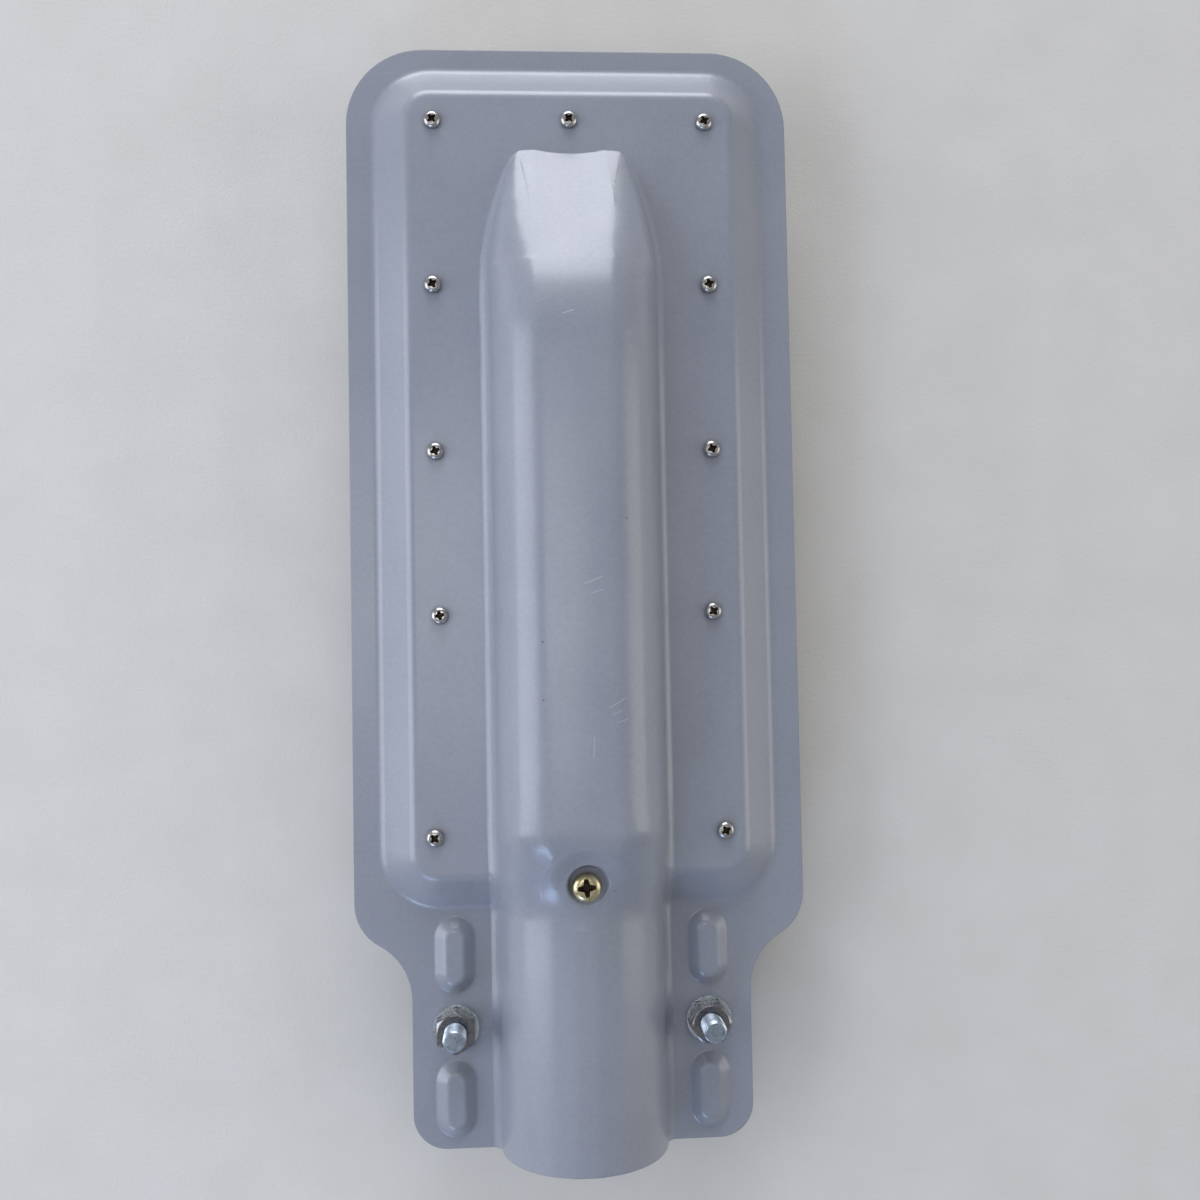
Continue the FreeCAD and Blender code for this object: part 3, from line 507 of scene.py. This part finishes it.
def panel_screws():
    """The small screws of the light panel, each with its cross turned as the driver left it."""
    pan_top = 10.5
    screw = cross_head_screw(head=3.0, height=2.3, shank=1.5, length=11.4, span=1.75, width=0.56, depth=1.6)
    turns = (45, 30, 12, 35, 20, 22, 28, 15, 40, 25, 44)
    places = [(x, y, pan_top, turn) for (x, y), turn in zip(small_screws, turns)]
    finish_piece("panel_screws", placed_copies(screw, places), (screw_steel, cross_shade_material), "stainless",
                 "cover_screws")


def earth_screw():
    """The yellow screw in the dimple."""
    screw = cross_head_screw(head=4.9, height=EARTH_HEAD, shank=2.5, length=15.0,
                             span=3.2, width=0.9, depth=2.6)
    low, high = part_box("earth_screw")
    seat = high[2] / MM - EARTH_HEAD
    places = [((low[0] + high[0]) / 2 / MM, (low[1] + high[1]) / 2 / MM, seat, 4)]
    finish_piece("earth_bond_screw", placed_copies(screw, places), (yellow_zinc, cross_shade_material), "yellow_zinc",
                 "earth_screw")


def threaded_stud(bm, x, y, low, high):
    """M8 thread from low to high: rows of points follow the helix, so that crest and root are true."""
    pitch = 1.25
    crest = 4.0
    end_radius = crest - 0.85
    # How far the rows of one turn lie inside the crest, from root to crest to root
    drops = (0.61, 0.34, 0.02, 0.0, 0.32, 0.6)
    around = 48
    step = pitch / len(drops)
    rows = int((high - low) / step) + 2 * len(drops) + 1
    grid = []
    for i in range(rows):
        row = []
        for j in range(around):
            z = low + (i - len(drops)) * step + pitch * j / around
            z = min(max(z, low), high)
            radius = min(crest - drops[i % len(drops)], end_radius + (high - z))
            if z in (low, high):
                radius = end_radius
            a = 2 * math.pi * j / around
            row.append(bm.verts.new(((x + radius * math.cos(a)) * MM, (y + radius * math.sin(a)) * MM, z * MM)))
        grid.append(row)
    for i in range(rows - 1):
        for j in range(around):
            if j < around - 1:
                bm.faces.new((grid[i][j], grid[i][j + 1], grid[i + 1][j + 1], grid[i + 1][j]))
            elif i + 1 + len(drops) < rows:
                up = len(drops)
                bm.faces.new((grid[i][j], grid[i + up][0], grid[i + 1 + up][0], grid[i + 1][j]))
    bmesh.ops.remove_doubles(bm, verts=[v for row in grid for v in row], dist=0.002 * MM)
    bmesh.ops.dissolve_degenerate(bm, edges=bm.edges, dist=0.001 * MM)
    open_edges = [e for e in bm.edges if e.is_boundary]
    bmesh.ops.holes_fill(bm, edges=open_edges, sides=0)


def clamp_studs():
    """The two carriage bolts: domed head, square neck and a threaded stud with a chamfered end."""
    head_radius = 9.8
    rim = 0.8
    dome_height = 3.4
    head_seat = -8.5
    neck_top = -5.5
    neck_width = 8.2
    for side, top, name in ((-1, 16.6, "left"), (1, 17.4, "right")):
        x = side * STUD_X
        bm = bmesh.new()
        threaded_stud(bm, x, STUD_Y, neck_top, top)
        head = [(0, -rim - dome_height)]
        for i in range(1, 10):
            a = i / 9 * math.pi / 2
            head.append((head_radius * math.sin(a), -rim - dome_height * math.cos(a)))
        head += [(head_radius, -0.1), (head_radius - 0.2, 0), (0, 0)]
        dome = turned([(r * MM, z * MM) for r, z in head], 56)
        bmesh.ops.translate(dome, verts=dome.verts, vec=(x * MM, STUD_Y * MM, head_seat * MM))
        middle = Matrix.Translation((x * MM, STUD_Y * MM, (head_seat + neck_top) / 2 * MM))
        block = Matrix.Diagonal((neck_width * MM, neck_width * MM, (neck_top - head_seat) * MM, 1.0))
        neck = bmesh.ops.create_cube(dome, size=1.0, matrix=middle @ block)
        upright = [e for e in {e for v in neck["verts"] for e in v.link_edges}
                   if abs(e.verts[0].co.z - e.verts[1].co.z) > MM]
        bmesh.ops.bevel(dome, geom=upright, offset=0.5 * MM, segments=2, affect="EDGES", clamp_overlap=True)
        joined = bpy.data.meshes.new("stud_blank")
        dome.to_mesh(joined)
        dome.free()
        bm.from_mesh(joined)
        bmesh.ops.recalc_face_normals(bm, faces=bm.faces)
        finish_piece(f"threaded_stud_{name}", bm, (stud_zinc,), "bright_zinc", f"clamp_bolt_{name}")


def eased(value, low, high):
    """Smooth step from 0 at low to 1 at high."""
    share = min(max((value - low) / (high - low), 0.0), 1.0)
    return share * share * (3 - 2 * share)


def finer_net(bm, inside, longest):
    """Divides the edges that lie inside and are longer than this many millimetres, until none is."""
    for _ in range(5):
        wide = [e for e in bm.edges if e.calc_length() > longest * MM
                and (inside(e.verts[0].co) or inside(e.verts[1].co))]
        if not wide:
            return
        bmesh.ops.subdivide_edges(bm, edges=wide, cuts=1)
        bmesh.ops.triangulate(bm, faces=[f for f in bm.faces if len(f.verts) > 3])


def dimple_height(points, floor_height):
    """The height of the outer skin round the earth screw, millimetres, as a function of x and y. The step
    without its dimple is fitted to the skin around it, and the dimple is pressed into that."""
    def terms(x, y):
        u = x / 15
        v = (y - 95) / 15
        return [1, u, v, u * u, u * v, v * v, u * u * v, v ** 3, u * u * v * v, v ** 4, u ** 4]

    rows = np.array([terms(x, y) for x, y, z in points])
    step = np.linalg.lstsq(rows, np.array([z for x, y, z in points]), rcond=None)[0]

    def height(x, y):
        plain = float(np.dot(terms(x, y), step))
        away = math.hypot(x - 1.1, y - 96.2)
        pressed = 0.8 * eased(away, 5.7, 7.5) + 0.2 * eased(away, 7.2, 13.4)
        return floor_height + (plain - floor_height) * pressed

    return height


def crown_fall(x, y, z):
    """How far the crown lies below the solid's flat one, and its slope across, millimetres."""
    if z < 22 or not 104 < y < 336 or abs(x) > 30:
        return 0.0, 0.0
    along = eased(y, 104, 126) * (1 - eased(y, 296, 336)) * eased(z, 22, 34)
    return 1.7 * (x / 22) ** 2 * along, 3.4 * x / 22 ** 2 * along


def pressed_sheet():
    """The housing as the press leaves it: the solid's own skin, with a soft lip round the dimple, which
    sits a little off the earth screw, a crown that falls off to its shoulders, and a nose that is round
    where the solid has strips. Everywhere else its points and its own normals stay as they are."""
    source = nodes["upper_housing"].data
    bm = bmesh.new()
    bm.from_mesh(source)
    kept = bm.loops.layers.float_vector.new("kept_normal")
    given = source.corner_normals
    for face, polygon in zip(bm.faces, source.polygons):
        for loop, number in zip(face.loops, polygon.loop_indices):
            loop[kept] = given[number].vector
    bmesh.ops.remove_doubles(bm, verts=bm.verts, dist=0.001 * MM)

    low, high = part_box("earth_screw")
    screw = Vector(((low[0] + high[0]) / 2, (low[1] + high[1]) / 2))
    floor_height = high[2] / MM - EARTH_HEAD
    lip = 15.5 * MM

    def near_dimple(place):
        return (place.xy - screw).length < lip and place.z > 22 * MM

    def on_nose(place):
        return place.y > 306 * MM and abs(place.x) < 31 * MM and place.z > 10.7 * MM and place.y < 356 * MM

    def on_wall(place):
        return 4.8 * MM < (place.xy - screw).length < 9.2 * MM and place.z > 28.5 * MM

    def on_crown(place):
        return 110 * MM < place.y < 306 * MM and abs(place.x) < 22 * MM and place.z > 32 * MM

    finer_net(bm, near_dimple, 0.9)
    finer_net(bm, on_wall, 0.5)
    finer_net(bm, on_crown, 4.0)
    finer_net(bm, on_nose, 1.7)
    bm.normal_update()
    points = []
    for vert in bm.verts:
        away = (vert.co.xy - screw).length / MM
        if 9.9 < away < 15.5 and vert.normal.z > 0.4 and vert.co.z > 26 * MM:
            points.append(tuple(v / MM for v in vert.co))
    height = dimple_height(points, floor_height)
    lip_verts = {}
    for vert in bm.verts:
        x, y, z = (v / MM for v in vert.co)
        away = (vert.co.xy - screw).length / MM
        if away > 15.0 or z < 22:
            continue
        top = height(x, y)
        slope_x = (height(x + 0.05, y) - height(x - 0.05, y)) / 0.1
        slope_y = (height(x, y + 0.05) - height(x, y - 0.05)) / 0.1
        fall = math.hypot(slope_x, slope_y)
        outer = z > 28.25 if away < 8.05 else vert.normal.z > 0.0
        if outer:
            lip_verts[vert] = Vector((-slope_x, -slope_y, 1.0)).normalized()
            vert.co.z = top * MM
        else:
            vert.co.z = (top - SHEET * min(math.hypot(1.0, fall), 1.6)) * MM

    # The nose is a little narrower towards its front than the solid, in one even taper
    for vert in bm.verts:
        x, y, z = (v / MM for v in vert.co)
        if 306 < y < 358 and abs(x) < 44 and z > 8.5:
            front = eased(y, 306, 352) * (1 - eased(y, 353, 358))
            vert.co.x *= 1 - 0.13 * front * (1 - eased(abs(x), 30, 44))
    # Its strips run into each other in a round press form, each point within a millimetre
    smooth = []
    for vert in bm.verts:
        outward = Vector((vert.co.x, 0.0, vert.co.z - 4 * MM))
        if on_nose(vert.co) and vert.co.z > 12 * MM and vert.co.y < 350 * MM and vert.normal.dot(outward) > 0:
            smooth.append(vert)
    before = {vert: vert.co.copy() for vert in smooth}
    for _ in range(28):
        bmesh.ops.smooth_vert(bm, verts=smooth, factor=0.5, use_axis_x=True, use_axis_y=True, use_axis_z=True)
    for vert, place in before.items():
        moved = vert.co - place
        most_moved = (0.95 - 0.6 * eased(place.y / MM, 336, 350)) * MM
        if moved.length > most_moved:
            vert.co = place + moved * (most_moved / moved.length)
    # The crown is drawn over a slightly hollow die: it falls off by 1.7 mm towards its shoulders
    for vert in bm.verts:
        fall, slope = crown_fall(*(v / MM for v in vert.co))
        vert.co.z -= fall * MM

    bm.verts.index_update()
    lip_normals = {vert.index: normal for vert, normal in lip_verts.items()}
    piece = finish_piece("pressed_sheet", bm, (coat,), "powder_coat", "upper_housing")
    mesh = piece.data
    fresh = [Vector(n.vector) for n in mesh.corner_normals]
    stored = mesh.attributes["kept_normal"].data
    normals = []
    for polygon in mesh.polygons:
        for number in polygon.loop_indices:
            vert = mesh.loops[number].vertex_index
            place = mesh.vertices[vert].co
            if vert in lip_normals and polygon.normal.z > 0.05:
                normals.append(lip_normals[vert])
            elif on_nose(place) or near_dimple(place):
                normals.append(fresh[number])
            else:
                normal = Vector(stored[number].vector).normalized()
                slope = crown_fall(place.x / MM, place.y / MM, place.z / MM + 1.0)[1]
                normals.append(Vector((normal.x + normal.z * slope, normal.y, normal.z)).normalized())
    mesh.normals_split_custom_set(normals)


pressed_sheet()
panel_screws()
earth_screw()
clamp_studs()


def plain_floor():
    """Pale matt board under the lamp, just below its lowest point, running on behind every view."""
    level = cad_box[0][2] - 0.0002
    mesh = bpy.data.meshes.new("floor")
    reach = 6.0
    corners = [(x * reach, y * reach, level) for x, y in ((-1, -1), (1, -1), (1, 1), (-1, 1))]
    mesh.from_pydata(corners, [], [(0, 1, 2, 3)])
    floor = bpy.data.objects.new("floor", mesh)
    bpy.context.collection.objects.link(floor)
    material, tree, surface, place = start_material("pale_board", Roughness=0.9)
    cloud = patches(tree, place, 30, 0.0, 1.0)
    tone = add(tree, "ShaderNodeMix", MIX, {0: cloud, 6: "#D6D4CF", 7: "#DBD9D5"}, 2)
    finish_material(tree, surface, tone, None, patches(tree, place, 1.2, 0.0, 1.0), 0.05)
    mesh.materials.append(material)


def soft_light(name, place, aim, size, watts, colour):
    """Square softbox at a place in metres, aimed at a point."""
    data = bpy.data.lights.new(name, "AREA")
    data.size = size
    data.energy = watts
    data.color = linear(colour)[:3]
    lamp = bpy.data.objects.new(name, data)
    lamp.location = place
    lamp.rotation_euler = (Vector(aim) - Vector(place)).to_track_quat("-Z", "Y").to_euler()
    bpy.context.collection.objects.link(lamp)


def studio():
    """Plain light: an even surround, and windows standing low at the left and beyond the tip."""
    middle = (0.0, 0.2, 0.01)
    soft_light("tip_window", (-0.2, 3.1, 0.86), middle, 2.0, 67.0, "#F6F8FF")
    soft_light("left_window", (-1.25, 0.2, 0.6), middle, 1.1, 11.0, "#F1F5FF")
    soft_light("right_wall", (1.3, 0.15, 0.45), middle, 0.9, 4.2, "#FFFBF6")
    soft_light("door_window", (-0.6, -1.2, 0.68), middle, 0.5, 6.0, "#B4D0FF")
    soft_light("ceiling", (-0.12, 0.26, 1.25), middle, 0.4, 1.35, "#FBFCFF")
    world = bpy.data.worlds.new("surround")
    world.use_nodes = True
    bpy.context.scene.world = world
    surround = world.node_tree.nodes["Background"]
    surround.inputs["Color"].default_value = linear("#E8EAEE")
    surround.inputs["Strength"].default_value = 0.345


def camera():
    """The photograph's own view, solved from the outline, the screws and the studs."""
    data = bpy.data.cameras.new("view")
    data.lens = 36.48
    data.sensor_width = 36.0
    data.clip_start = 0.01
    eye = bpy.data.objects.new("view", data)
    across = Vector((0.997866, -0.018623, 0.062573)).normalized()
    back = Vector((-0.063261, -0.039042, 0.997233)).normalized()
    up = back.cross(across).normalized()
    across = up.cross(back)
    turn = Matrix((across, up, back)).transposed().to_4x4()
    eye.matrix_world = Matrix.Translation((-0.0190, 0.1748, 0.4366)) @ turn
    bpy.context.collection.objects.link(eye)
    bpy.context.scene.camera = eye


plain_floor()
studio()
camera()
bpy.context.scene.view_settings.view_transform = "Standard"

bpy.context.view_layer.update()
